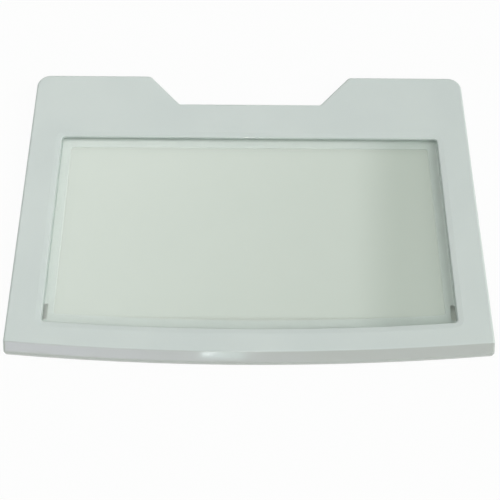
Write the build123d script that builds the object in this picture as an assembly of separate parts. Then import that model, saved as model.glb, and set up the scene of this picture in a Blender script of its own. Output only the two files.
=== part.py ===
from build123d import *

import os
from math import atan2, sqrt, tan

# Refrigerator crisper drawer cover: one injection-moulded plastic frame and the glass pane set in it.
# The pane lies on a ledge inside the frame, with its rear edge tucked under the rear rim, and its own
# weight keeps it down. Lengths are in millimetres. +X is to the right and +Y to the rear; the origin is
# under the middle of the frame, on the plane it rests on.

# Overall sizes of the frame
WIDTH = 650.0
DEPTH = 454.0
HEIGHT = 17.0
WALL = 2.5

# Rear edge: two ears with a recess between them, which clears the air duct on the cabinet's rear wall
RECESS_DEPTH = 51.0
RECESS_FLOOR_WIDTH = 213.0
RECESS_MOUTH_WIDTH = 305.0
EAR_OUTER_RADIUS = 20.0
EAR_INNER_RADIUS = 9.0
RECESS_RADIUS = 4.0

# Front edge: bowed in plan, with a flat bevel above a short upright nose
FRONT_BOW = 13.6
BEVEL_RUN = 13.5
BEVEL_DROP = 9.0
EDGE_RADIUS = 4.0
BEND_MARGIN = 0.5

# Window in the top face
WINDOW_WIDTH = 557.0
REAR_BAND = 59.0
FRONT_BAND = 31.5
WINDOW_BOW = 9.9
WINDOW_CORNER_RADIUS = 6.0
LIP_RUN = 7.5
LIP_DROP = 1.5
LIP_RADIUS = 1.5

# Glass pane and the seat moulded round it
GLASS_THICKNESS = 4.0
GLASS_EDGE_RADIUS = 1.2
GLASS_DROP = 5.5
PANE_CLEARANCE = 0.6
PANE_TUCK = 3.0
SEAT_HEADROOM = 0.3
RIM_WALL = 3.0
LEDGE_WIDTH = 14.0
LEDGE_THICKNESS = 2.2
LEDGE_CORNER_RADIUS = 4.0

# Slots through the ledge under the pane's front corners
SLOT_LENGTH = 23.0
SLOT_WIDTH = 7.0
SLOT_TO_FRONT = 4.5

# Ribs under the top face, between the rim round the pane and the outer skirt
RIB_THICKNESS = 1.8
RIB_DEPTH = 8.0
RIB_PITCH = 62.0
EAR_RIB_SETBACK = 24.0

# How near an edge lies to a place to count as there
NEAR = 0.01

# Places worked out from the sizes above
REAR_Y = DEPTH / 2
NOSE_Y = -DEPTH / 2
RECESS_Y = REAR_Y - RECESS_DEPTH
WINDOW_REAR_Y = RECESS_Y - REAR_BAND
WINDOW_FRONT_Y = NOSE_Y + BEVEL_RUN + FRONT_BAND
PANE_TOP_Z = HEIGHT - GLASS_DROP
LEDGE_Z = PANE_TOP_Z - GLASS_THICKNESS
LEDGE_UNDER_Z = LEDGE_Z - LEDGE_THICKNESS
SKIN_UNDER_Z = HEIGHT - WALL

# The bends are a little rounder than the edge, so that its rounding can run on round them
BEND_RADIUS = EDGE_RADIUS + BEND_MARGIN


def bow_radius(width, bow):
    """Radius of the arc that bulges by bow over a chord of this width."""
    return ((width / 2) ** 2 + bow**2) / (2 * bow)


FRONT_ARC_RADIUS = bow_radius(WIDTH, FRONT_BOW)
WINDOW_ARC_RADIUS = bow_radius(WINDOW_WIDTH, WINDOW_BOW)


def bowed_outline(rear_points, half_width, front_y, arc_radius):
    """Face bounded by the rear points (left to right), two straight sides and a front arc."""
    side_y = front_y + arc_radius - sqrt(arc_radius**2 - half_width**2)
    sides = Polyline((-half_width, side_y), *rear_points, (half_width, side_y))
    front = ThreePointArc((half_width, side_y), (0, front_y), (-half_width, side_y))
    return make_face([sides, front])


def frame_plan():
    """Outer outline of the frame, with its rear corners rounded and its front corners still sharp."""
    half = WIDTH / 2
    mouth = RECESS_MOUTH_WIDTH / 2
    floor = RECESS_FLOOR_WIDTH / 2
    rear = [(-half, REAR_Y), (-mouth, REAR_Y), (-floor, RECESS_Y)]
    rear += [(-x, y) for x, y in reversed(rear)]
    plan = bowed_outline(rear, half, NOSE_Y, FRONT_ARC_RADIUS)
    rounding = {half: EAR_OUTER_RADIUS, mouth: EAR_INNER_RADIUS, floor: RECESS_RADIUS}
    for x, radius in rounding.items():
        corners = plan.vertices().filter_by(lambda v: abs(abs(v.X) - x) < NEAR and v.Y > 0)
        plan = fillet(corners, radius)
    return plan


def window_plan(grow=0.0, tuck=0.0, corner_radius=WINDOW_CORNER_RADIUS):
    """Outline of the window, moved outwards by grow all round and then by tuck at the rear."""
    half = WINDOW_WIDTH / 2 + grow
    rear_y = WINDOW_REAR_Y + grow + tuck
    rear = [(-half, rear_y), (half, rear_y)]
    plan = bowed_outline(rear, half, WINDOW_FRONT_Y - grow, WINDOW_ARC_RADIUS + grow)
    return fillet(plan.vertices(), corner_radius)


def layer(plan, low_z, high_z):
    """Plate of this outline between two heights."""
    return Pos(0, 0, low_z) * extrude(plan, amount=high_z - low_z)


def front_top_edge(block):
    """The bowed edge where a block's top face meets its front."""
    return block.faces().sort_by(Axis.Z)[-1].edges().sort_by(Axis.Y)[0]


def bevelled_block(plan, height, run, drop):
    """Block of this outline, bevelled along the front of its top face."""
    block = extrude(plan, amount=height)
    top = block.faces().sort_by(Axis.Z)[-1]
    return chamfer(front_top_edge(block), length=run, length2=drop, reference=top)


def outer_form():
    """Outside of the frame, with both bends of the bevel and then its whole outer edge rounded."""
    block = bevelled_block(frame_plan(), HEIGHT, BEVEL_RUN, BEVEL_DROP)
    bevel = block.faces().filter_by(GeomType.CONE)[0]
    block = fillet(bevel.edges().sort_by(Edge.length)[-2:], BEND_RADIUS)
    outline = block.faces().sort_by(Axis.Z)[-1].edges().sort_by(Axis.Y)[1:]
    return fillet(outline, EDGE_RADIUS)


def cavity_form():
    """Hollow under the skin, one wall inside the outer form, bevel included."""
    slope = atan2(BEVEL_DROP, BEVEL_RUN)
    lean = atan2(BEVEL_RUN, BEVEL_DROP)
    run = BEVEL_RUN - WALL * (1 - tan(slope / 2))
    drop = BEVEL_DROP - WALL * (1 - tan(lean / 2))
    return bevelled_block(offset(frame_plan(), -WALL), SKIN_UNDER_Z, run, drop)


def rim_plan():
    """Outside of the wall that stands round the pane's seat."""
    return window_plan(RIM_WALL, PANE_TUCK)


def spread(half_span, pitch):
    """Evenly spaced places either side of the middle, about a pitch apart, within a half span."""
    steps = int(half_span // pitch)
    return [i * half_span / steps for i in range(1 - steps, steps)]


def ribs(cavity):
    """Cross ribs hung from the skin, each ending on the rim and the skirt."""
    mid_z = SKIN_UNDER_Z - RIB_DEPTH / 2
    window_mid_y = (WINDOW_REAR_Y + WINDOW_FRONT_Y) / 2
    along_y = [Pos(x, 0, mid_z) * Box(RIB_THICKNESS, DEPTH, RIB_DEPTH) for x in spread(WIDTH / 2, RIB_PITCH)]
    rows = [window_mid_y + y for y in spread((WINDOW_REAR_Y - WINDOW_FRONT_Y) / 2, RIB_PITCH)]
    rows += [WINDOW_REAR_Y, REAR_Y - EAR_RIB_SETBACK]
    across = [Pos(0, y, mid_z) * Box(WIDTH, RIB_THICKNESS, RIB_DEPTH) for y in rows]
    zone = cavity - layer(rim_plan(), 0, HEIGHT)
    return (Part() + along_y + across) & zone


def ledge_slot(side):
    """Round-ended slot through the ledge, along the side wall, near a front corner of the window."""
    half = WINDOW_WIDTH / 2
    corner_y = WINDOW_FRONT_Y + WINDOW_ARC_RADIUS - sqrt(WINDOW_ARC_RADIUS**2 - half**2)
    x = side * (half - SLOT_WIDTH / 2)
    y = corner_y + SLOT_TO_FRONT + SLOT_LENGTH / 2
    slot = Pos(x, y) * Rot(0, 0, 90) * SlotOverall(SLOT_LENGTH, SLOT_WIDTH)
    return layer(slot, 0, LEDGE_Z)


def with_lip(frame):
    """The frame with its window's edge sloped down towards the pane and then rounded over."""
    top = frame.faces().sort_by(Axis.Z)[-1]
    frame = chamfer(top.inner_wires()[0].edges(), length=LIP_RUN, length2=LIP_DROP, reference=top)
    brink_z = HEIGHT - LIP_DROP
    brink = frame.edges().filter_by_position(Axis.Z, brink_z - NEAR, brink_z + NEAR)
    brink = brink.filter_by_position(Axis.X, -WINDOW_WIDTH / 2 - NEAR, WINDOW_WIDTH / 2 + NEAR)
    brink = brink.filter_by_position(Axis.Y, WINDOW_FRONT_Y - NEAR, WINDOW_REAR_Y + NEAR)
    return fillet(brink, LIP_RADIUS)


def cover_frame():
    """Moulded frame: skin and skirt, rim and slotted ledge round the pane, ribs beneath."""
    cavity = cavity_form()
    frame = outer_form() - cavity
    frame += layer(rim_plan(), LEDGE_UNDER_Z, SKIN_UNDER_Z)
    frame += ribs(cavity)
    frame -= layer(window_plan(-LEDGE_WIDTH, 0, LEDGE_CORNER_RADIUS), 0, HEIGHT)
    frame -= layer(window_plan(0, PANE_TUCK), LEDGE_Z, PANE_TOP_Z + SEAT_HEADROOM)
    frame -= layer(window_plan(), LEDGE_Z, HEIGHT)
    frame = with_lip(frame)
    for side in (-1, 1):
        frame -= ledge_slot(side)
    return frame


def glass_pane():
    """Toughened glass, cut to the window and longer at the rear, with its edges ground round."""
    pane = layer(window_plan(-PANE_CLEARANCE, PANE_TUCK), LEDGE_Z, PANE_TOP_Z)
    faces = pane.faces().sort_by(Axis.Z)
    return fillet(faces[0].edges() + faces[-1].edges(), GLASS_EDGE_RADIUS)


os.makedirs("parts", exist_ok=True)
for name, shape in {"cover_frame": cover_frame(), "glass_pane": glass_pane()}.items():
    export_step(shape, f"parts/{name}.step")
    print(name, "solids", len(shape.solids()), "volume", round(shape.volume), "valid", shape.is_valid)
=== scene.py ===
from math import atan2, cos, radians, sin

import bmesh
import bpy
from mathutils import Matrix, Vector


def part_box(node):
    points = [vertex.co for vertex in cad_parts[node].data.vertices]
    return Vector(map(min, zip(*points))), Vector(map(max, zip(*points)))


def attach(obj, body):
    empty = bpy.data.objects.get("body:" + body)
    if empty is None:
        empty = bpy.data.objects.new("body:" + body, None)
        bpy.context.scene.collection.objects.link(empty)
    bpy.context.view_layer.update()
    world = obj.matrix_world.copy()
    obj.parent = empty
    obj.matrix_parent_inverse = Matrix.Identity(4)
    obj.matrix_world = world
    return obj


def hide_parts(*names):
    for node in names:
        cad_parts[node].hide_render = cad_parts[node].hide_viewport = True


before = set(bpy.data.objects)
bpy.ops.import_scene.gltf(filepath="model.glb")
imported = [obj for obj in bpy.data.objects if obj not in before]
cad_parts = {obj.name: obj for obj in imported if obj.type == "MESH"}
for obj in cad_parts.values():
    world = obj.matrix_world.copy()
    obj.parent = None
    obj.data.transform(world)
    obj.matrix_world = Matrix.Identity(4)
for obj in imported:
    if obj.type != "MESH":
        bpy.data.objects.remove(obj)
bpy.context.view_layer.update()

# The frame: one injection moulding in pale, faintly green plastic, with a fine satin grain from the mould.
# It is the carried-over solid, welded and shaded smooth over its rounded edges. The edge where the
# top face turns down into the window's lip is left crisp, as the mould cuts it.
WELD_GAP = 1e-6
SHARP_ANGLE = radians(30)
LIP_RUN = 0.0075
LIP_DROP = 0.0015
LIP_SLOPE = atan2(LIP_DROP, LIP_RUN)
LIP_SLOPE_MARGIN = radians(1.5)
LEVEL = 0.9999


def is_lip_crease(edge):
    """True where a level top face meets the window's sloped lip."""
    level = max(face.normal.z for face in edge.link_faces) > LEVEL
    return level and abs(edge.calc_face_angle() - LIP_SLOPE) < LIP_SLOPE_MARGIN


def add_object(name, data):
    """A new object in the scene, at the origin."""
    made = bpy.data.objects.new(name, data)
    bpy.context.scene.collection.objects.link(made)
    return made


def smooth_copy(node_name, piece_name):
    """A welded copy of a carried-over solid, smooth except along its real edges, that stands for it."""
    mesh = bpy.data.meshes.new(piece_name)
    welded = bmesh.new()
    welded.from_mesh(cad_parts[node_name].data)
    bmesh.ops.remove_doubles(welded, verts=welded.verts, dist=WELD_GAP)
    welded.normal_update()
    for face in welded.faces:
        face.smooth = True
    for edge in welded.edges:
        edge.smooth = edge.calc_face_angle() < SHARP_ANGLE and not is_lip_crease(edge)
    welded.to_mesh(mesh)
    welded.free()
    piece = add_object(piece_name, mesh)
    rounding = piece.modifiers.new("even_shading", "WEIGHTED_NORMAL")
    rounding.keep_sharp = True
    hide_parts(node_name)
    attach(piece, "root")
    return piece


moulded_frame = smooth_copy("cover_frame", "moulded_frame")


def fill(node, values):
    """Feeds a node's inputs, by name or number: an output is linked, and a plain value is set."""
    for key, value in values.items():
        if isinstance(value, bpy.types.NodeSocket):
            node.id_data.links.new(value, node.inputs[key])
        else:
            node.inputs[key].default_value = value
    return node


def ranged(tree, value, span, to=(0, 1), ramp="LINEAR"):
    """A value carried over from one span to another, and held at both ends."""
    node = tree.nodes.new("ShaderNodeMapRange")
    node.interpolation_type = ramp
    names = ("Value", "From Min", "From Max", "To Min", "To Max")
    return fill(node, dict(zip(names, (value, *span, *to)))).outputs["Result"]


def reckoned(tree, operation, *values):
    """The result of one sum on these values."""
    node = tree.nodes.new("ShaderNodeMath")
    node.operation = operation
    return fill(node, dict(enumerate(values))).outputs["Value"]


def axes_of(tree, vector):
    """A vector's parts along X, Y and Z."""
    return fill(tree.nodes.new("ShaderNodeSeparateXYZ"), {"Vector": vector}).outputs


def noise(tree, place, scale, detail):
    """Soft noise over a piece."""
    node = tree.nodes.new("ShaderNodeTexNoise")
    return fill(node, {"Vector": place, "Scale": scale, "Detail": detail}).outputs["Fac"]


def mixed_colour(tree, share, first, second):
    """Two colours mixed, with this share of the second."""
    node = tree.nodes.new("ShaderNodeMix")
    node.data_type = "RGBA"
    first_key, second_key = (key for key, socket in enumerate(node.inputs) if socket.type == "RGBA")
    fill(node, {"Factor": share, first_key: first, second_key: second})
    return next(socket for socket in node.outputs if socket.type == "RGBA")


def new_material(name):
    """A new material, its node tree and its main shader."""
    material = bpy.data.materials.new(name)
    material.use_nodes = True
    return material, material.node_tree, material.node_tree.nodes["Principled BSDF"]


# Soft clouds of tone, from deep to pale, which the plastic and the glass both have. They are one node group,
# which each material places with a size and two colours of its own.
CLOUD_DETAIL = 2
CLOUD_SPAN = (0.35, 0.65)
CLOUD_INPUTS = {
    "Place": "NodeSocketVector",
    "Scale": "NodeSocketFloat",
    "Deep": "NodeSocketColor",
    "Pale": "NodeSocketColor",
}

clouds = bpy.data.node_groups.new("soft_clouds", "ShaderNodeTree")
for name, kind in CLOUD_INPUTS.items():
    clouds.interface.new_socket(name, in_out="INPUT", socket_type=kind)
clouds.interface.new_socket("Tone", in_out="OUTPUT", socket_type="NodeSocketColor")
given = clouds.nodes.new("NodeGroupInput").outputs
cloud_noise = noise(clouds, given["Place"], given["Scale"], CLOUD_DETAIL)
pale_share = ranged(clouds, cloud_noise, CLOUD_SPAN)
cloud_tone = mixed_colour(clouds, pale_share, given["Deep"], given["Pale"])
fill(clouds.nodes.new("NodeGroupOutput"), {"Tone": cloud_tone})


def cloudy_tone(tree, place, size, deep, pale):
    """The soft clouds, placed in a material."""
    node = tree.nodes.new("ShaderNodeGroup")
    node.node_tree = clouds
    return fill(node, {"Place": place, "Scale": 1 / size, "Deep": deep, "Pale": pale}).outputs["Tone"]


PLASTIC_COLOUR = (0.61, 0.675, 0.642, 1)
PLASTIC_COLOUR_DEEP = (0.59, 0.655, 0.626, 1)
PLASTIC_CLOUD_SIZE = 0.11
PLASTIC_IOR = 1.52
MILKY_SHARE = 0.3
MILKY_SPREAD = (1, 1, 1)
MILKY_DEPTH = 0.004

plastic, tree, surface = new_material("frame_plastic_satin")
surface.inputs["IOR"].default_value = PLASTIC_IOR
surface.inputs["Subsurface Weight"].default_value = MILKY_SHARE
surface.inputs["Subsurface Radius"].default_value = MILKY_SPREAD
surface.inputs["Subsurface Scale"].default_value = MILKY_DEPTH
place = tree.nodes.new("ShaderNodeTexCoord").outputs
tone = cloudy_tone(tree, place["Object"], PLASTIC_CLOUD_SIZE, PLASTIC_COLOUR_DEEP, PLASTIC_COLOUR)

# Faces that lean to the front are polished and have no grain: the bevel and the nose along the front, and the
# rounded edge and the wall at the rear of the window. Those ahead of the window, the bevel and the nose, are
# coloured darker and greyer than the plastic: painted shade for faces that turn to the front.
BEVEL_PAINTED_SHADE = (0.455, 0.486, 0.458, 1)
BEVEL_REAR_Y = -0.19
POLISHED_LEAN_Y = (-0.3, -0.48)
SATIN_ROUGHNESS = 0.42
POLISHED_ROUGHNESS = 0.08
GRAIN_SIZE = 0.0007
GRAIN_DETAIL = 1
GRAIN_DEPTH = 0.00003

polished = ranged(tree, axes_of(tree, place["Normal"])["Y"], POLISHED_LEAN_Y)
at_front = reckoned(tree, "LESS_THAN", axes_of(tree, place["Object"])["Y"], BEVEL_REAR_Y)
# The share of painted shade: full on the polished faces ahead of the window, none elsewhere.
bevel_painted_shade = reckoned(tree, "MULTIPLY", polished, at_front)
roughness = ranged(tree, polished, (0, 1), (SATIN_ROUGHNESS, POLISHED_ROUGHNESS))
grain = noise(tree, place["Object"], 1 / GRAIN_SIZE, GRAIN_DETAIL)
grain_height = reckoned(tree, "MULTIPLY", grain, ranged(tree, polished, (0, 1), (1, 0)))
grain_bump = fill(tree.nodes.new("ShaderNodeBump"), {"Distance": GRAIN_DEPTH, "Height": grain_height})
# The base colour is the cloudy plastic, with the darker painted shade mixed in on the bevel and the nose.
fill(surface, {
    "Base Color": mixed_colour(tree, bevel_painted_shade, tone, BEVEL_PAINTED_SHADE),
    "Roughness": roughness,
    "Normal": grain_bump.outputs["Normal"],
})
moulded_frame.data.materials.append(plastic)

# The pane: flat toughened glass, clear with a faint green cast, laid on the ledge inside the frame.
# Its edges are ground round. Its underside is drawn up by a hair, so that it doesn't lie in the ledge's own
# face. Lamps shine through it on to what lies beneath.
GLASS_TINT = (0.925, 0.945, 0.915, 1)
GLASS_TINT_DEEP = (0.915, 0.938, 0.907, 1)
GLASS_CLOUD_SIZE = 0.16
GLASS_IOR = 1.52
GLASS_SHADOW_TINT = (0.938, 0.948, 0.938, 1)
SEAT_GAP = 0.0001

pane = smooth_copy("glass_pane", "pane")
low_z, top_z = (corner[2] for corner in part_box("glass_pane"))
for vertex in pane.data.vertices:
    vertex.co.z += SEAT_GAP * (top_z - vertex.co.z) / (top_z - low_z)


def mixed_shader(tree, share, first, second):
    """Two shaders mixed, with this share of the second."""
    node = tree.nodes.new("ShaderNodeMixShader")
    return fill(node, {0: share, 1: first, 2: second}).outputs["Shader"]


glass, tree, clear = new_material("pane_glass_clear")
clear.inputs["Transmission Weight"].default_value = 1
clear.inputs["Roughness"].default_value = 0
clear.inputs["IOR"].default_value = GLASS_IOR
place = tree.nodes.new("ShaderNodeTexCoord").outputs
tint = cloudy_tone(tree, place["Object"], GLASS_CLOUD_SIZE, GLASS_TINT_DEEP, GLASS_TINT)
fill(clear, {"Base Color": tint})
see_through = fill(tree.nodes.new("ShaderNodeBsdfTransparent"), {"Color": GLASS_SHADOW_TINT}).outputs["BSDF"]
ray = tree.nodes.new("ShaderNodeLightPath").outputs
passes_shadow = mixed_shader(tree, ray["Is Shadow Ray"], clear.outputs["BSDF"], see_through)
passes_light = mixed_shader(tree, ray["Is Diffuse Ray"], passes_shadow, see_through)
fill(tree.nodes["Material Output"], {"Surface": passes_light})
pane.data.materials.append(glass)

# The floor: a plain pale sheet that the cover lies on. It shows as white to the eye and in reflections, and
# as its own pale tone through the middle of the glass. It keeps a part of the cover's shadow there, and all
# of it under the ledge.
FLOOR_HALF = 6.0
FLOOR_COLOUR = (0.66, 0.71, 0.655, 1)
FLOOR_ROUGHNESS = 0.9
WHITE = (1, 1, 1, 1)
WHITE_SEEN = 0.95
EVEN_TONE = (0.512, 0.571, 0.516, 1)
EVEN_SHARE = 0.8
OPENING_MIDDLE = (0, -0.025)
OPENING_HALVES = ((0.2705, 0.2685), (0.137, 0.134))

floor_mesh = bpy.data.meshes.new("floor")
corners = [(-FLOOR_HALF, -FLOOR_HALF, 0), (FLOOR_HALF, -FLOOR_HALF, 0)]
corners += [(FLOOR_HALF, FLOOR_HALF, 0), (-FLOOR_HALF, FLOOR_HALF, 0)]
floor_mesh.from_pydata(corners, [], [(0, 1, 2, 3)])
floor = add_object("floor", floor_mesh)

sheet, tree, matt = new_material("floor_white")
matt.inputs["Base Color"].default_value = FLOOR_COLOUR
matt.inputs["Roughness"].default_value = FLOOR_ROUGHNESS
matt.inputs["Specular IOR Level"].default_value = 0
ray = tree.nodes.new("ShaderNodeLightPath").outputs
white = fill(tree.nodes.new("ShaderNodeEmission"), {"Color": WHITE}).outputs["Emission"]
own_tone = fill(tree.nodes.new("ShaderNodeEmission"), {"Color": EVEN_TONE}).outputs["Emission"]
shown = mixed_shader(tree, ray["Is Transmission Ray"], white, own_tone)

# The even tone's share falls to nothing near the edges of the ledge's opening. It is one factor for the width
# times one for the depth, and each is the root of the whole share.
spot = axes_of(tree, tree.nodes.new("ShaderNodeTexCoord").outputs["Object"])
factors = []
for along, middle, halves in zip(spot, OPENING_MIDDLE, OPENING_HALVES):
    away = reckoned(tree, "ABSOLUTE", reckoned(tree, "SUBTRACT", along, middle))
    factors.append(ranged(tree, away, halves, (0, EVEN_SHARE**0.5)))
even_share = reckoned(tree, "MULTIPLY", *factors)
seen = reckoned(tree, "MAXIMUM", ray["Is Camera Ray"], ray["Is Glossy Ray"])
seen_share = ranged(tree, ray["Is Transmission Ray"], (0, 1), (WHITE_SEEN, even_share))
shown_share = reckoned(tree, "MULTIPLY", seen, seen_share)
floor_shader = mixed_shader(tree, shown_share, matt.outputs["BSDF"], shown)
fill(tree.nodes["Material Output"], {"Surface": floor_shader})
floor_mesh.materials.append(sheet)

# The light: a pale room, brighter in front, with a bright window high on the left behind, and a soft sun from
# the right. In front hang three small lamps and a long strip light, made of lamps that overlap, which fades
# out to the right. They give no diffuse light and only glint on the polished bevel and the rear lip.
SUN_FROM = (0.86, -0.10, 0.48)
SUN_STRENGTH = 1.7
SUN_SPREAD = radians(40)
GLINT_AIM = (0, -0.2, 0)
GLINT_LAMPS = {
    "glint_spot": ((-0.18, -2.1, 1.6), (0.04, 0.04), 0.1, (0.95, 0.98, 1)),
    "glint_glow": ((-0.11, -2.1, 1.6), (0.24, 0.16), 0.42, (0.72, 1, 0.95)),
    "glint_lip": ((0.03, -1.6, 2.0), (0.06, 0.05), 5.0, (1, 1, 1)),
}
STRIP_LEFT_X = -1.4
STRIP_RIGHT_X = (-0.85, -0.5, -0.1, 0.35)
STRIP_Y = -2.1
STRIP_Z = 1.56
STRIP_HEIGHT = 0.3
STRIP_WATTS_PER_METRE = 0.6
STRIP_TINT = (0.76, 0.7, 1)


def hang_lamp(name, kind, place, aim):
    """A lamp of this kind at a place, facing a point."""
    holder = add_object(name, bpy.data.lights.new(name, kind))
    holder.location = place
    holder.rotation_euler = (Vector(aim) - Vector(place)).to_track_quat("-Z", "Y").to_euler()
    return holder


def hang_glint(name, place, size, watts, tint):
    """A flat lamp that faces the front of the cover and shows only in its gloss."""
    glint = hang_lamp(name, "AREA", place, GLINT_AIM)
    glint.visible_diffuse = False
    glint.data.shape = "RECTANGLE"
    glint.data.size, glint.data.size_y = size
    glint.data.energy = watts
    glint.data.color = tint


sun = hang_lamp("soft_sun", "SUN", SUN_FROM, (0, 0, 0))
sun.data.energy = SUN_STRENGTH
sun.data.angle = SUN_SPREAD
for name, (place, size, watts, tint) in GLINT_LAMPS.items():
    hang_glint(name, place, size, watts, tint)
for number, right_x in enumerate(STRIP_RIGHT_X):
    length = right_x - STRIP_LEFT_X
    place = ((STRIP_LEFT_X + right_x) / 2, STRIP_Y, STRIP_Z)
    watts = STRIP_WATTS_PER_METRE * length
    hang_glint(f"glint_strip_{number}", place, (length, STRIP_HEIGHT), watts, STRIP_TINT)

# The room is a level of light for each direction it comes from. The window's light is full to the rear left
# and fades towards the front right.
ROOM_LEVEL = 0.32
FRONT_EXTRA = 1.0
FRONT_Y = (-0.45, -0.85)
WINDOW_EXTRA = 2.4
WINDOW_END_X = (0.20, 0.13)
WINDOW_START_Y = (0.15, 0.27)
WINDOW_START_Z = (0.6, 0.75)
WINDOW_SLANT = (-1, 0.6, 0)
WINDOW_FADE = (0.6, 0.0)
WINDOW_FADE_TO = 0.5
SOFT = "SMOOTHSTEP"

world = bpy.data.worlds.new("pale_room")
bpy.context.scene.world = world
world.use_nodes = True
tree = world.node_tree
way = tree.nodes.new("ShaderNodeTexCoord").outputs["Generated"]
way_x, way_y, way_z = axes_of(tree, way)
slant = tree.nodes.new("ShaderNodeVectorMath")
slant.operation = "DOT_PRODUCT"
fill(slant, {0: way, 1: WINDOW_SLANT})
window_light = ranged(tree, way_x, WINDOW_END_X, ramp=SOFT)
window_limits = (
    ranged(tree, way_y, WINDOW_START_Y, ramp=SOFT),
    ranged(tree, way_z, WINDOW_START_Z, ramp=SOFT),
    ranged(tree, slant.outputs["Value"], WINDOW_FADE, (1, WINDOW_FADE_TO), ramp=SOFT),
)
for limit in window_limits:
    window_light = reckoned(tree, "MULTIPLY", window_light, limit)
walls = ranged(tree, way_y, FRONT_Y, (ROOM_LEVEL, ROOM_LEVEL + FRONT_EXTRA), ramp=SOFT)
room = reckoned(tree, "MULTIPLY_ADD", window_light, WINDOW_EXTRA, walls)
ray = tree.nodes.new("ShaderNodeLightPath").outputs
white_behind = reckoned(tree, "MAXIMUM", room, ray["Is Camera Ray"])
fill(tree.nodes["Background"], {"Color": WHITE, "Strength": white_behind})
bpy.context.scene.view_settings.view_transform = "Standard"

# The camera: held above the front edge and tipped down, as the photograph was taken. It is turned and rolled
# by less than two degrees.
CAMERA_PLACE = (-0.0132, -0.532, 1.0234)
CAMERA_PITCH = radians(65.22)
CAMERA_YAW = -0.0284
CAMERA_ROLL = 0.0311
CAMERA_LENS = 57.6
CAMERA_SENSOR = 36

ahead = cos(CAMERA_PITCH)
forward = Vector((-sin(CAMERA_YAW) * ahead, cos(CAMERA_YAW) * ahead, -sin(CAMERA_PITCH)))
level_right = Vector((cos(CAMERA_YAW), sin(CAMERA_YAW), 0))
level_up = level_right.cross(forward)
right = cos(CAMERA_ROLL) * level_right + sin(CAMERA_ROLL) * level_up
up = -sin(CAMERA_ROLL) * level_right + cos(CAMERA_ROLL) * level_up
lens = bpy.data.cameras.new("camera")
lens.lens = CAMERA_LENS
lens.sensor_width = CAMERA_SENSOR
camera = add_object("camera", lens)
camera.matrix_world = Matrix.Translation(CAMERA_PLACE) @ Matrix((right, up, -forward)).transposed().to_4x4()
bpy.context.scene.camera = camera
